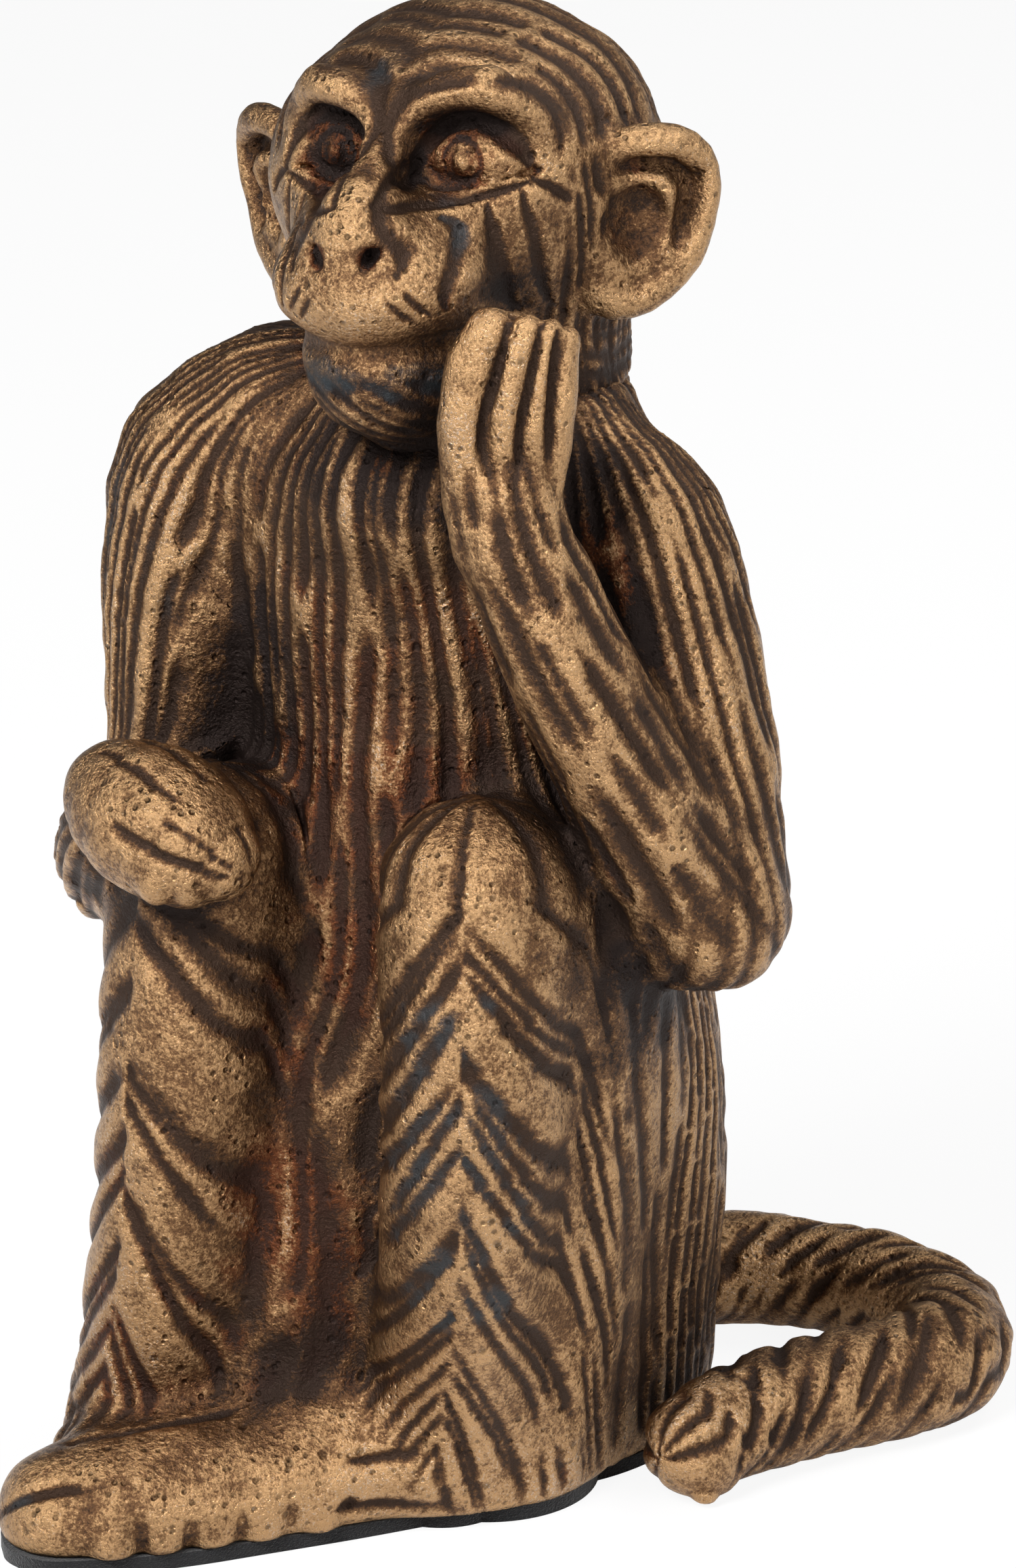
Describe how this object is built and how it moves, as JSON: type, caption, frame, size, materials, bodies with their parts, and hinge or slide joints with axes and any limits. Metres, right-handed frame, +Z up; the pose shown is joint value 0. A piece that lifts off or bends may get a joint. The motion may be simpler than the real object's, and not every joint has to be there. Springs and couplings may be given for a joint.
{
  "type": "monkey figurine",
  "caption": "Sitting monkey ornament in hollow cast metal with an antique gold patina, one hand at its chin, the other on its knee, on a felt pad.",
  "frame": {"origin": "on the floor under the middle of the body, at the underside of the felt pad", "axes": "+Z up, the monkey faces -Y, its left side is +X"},
  "size_m": [0.1339, 0.1524, 0.2387],
  "materials": {
    "patinated_metal": "antique gold rubbed over dark brown patina",
    "felt": "black felt"
  },
  "bodies": {
    "root": {"head_casting": "patinated_metal", "body_front_shell": "patinated_metal", "body_back_shell": "patinated_metal", "left_arm_casting": "patinated_metal", "right_arm_casting": "patinated_metal", "tail_casting": "patinated_metal", "base_felt": "felt"}
  },
  "joints": []
}
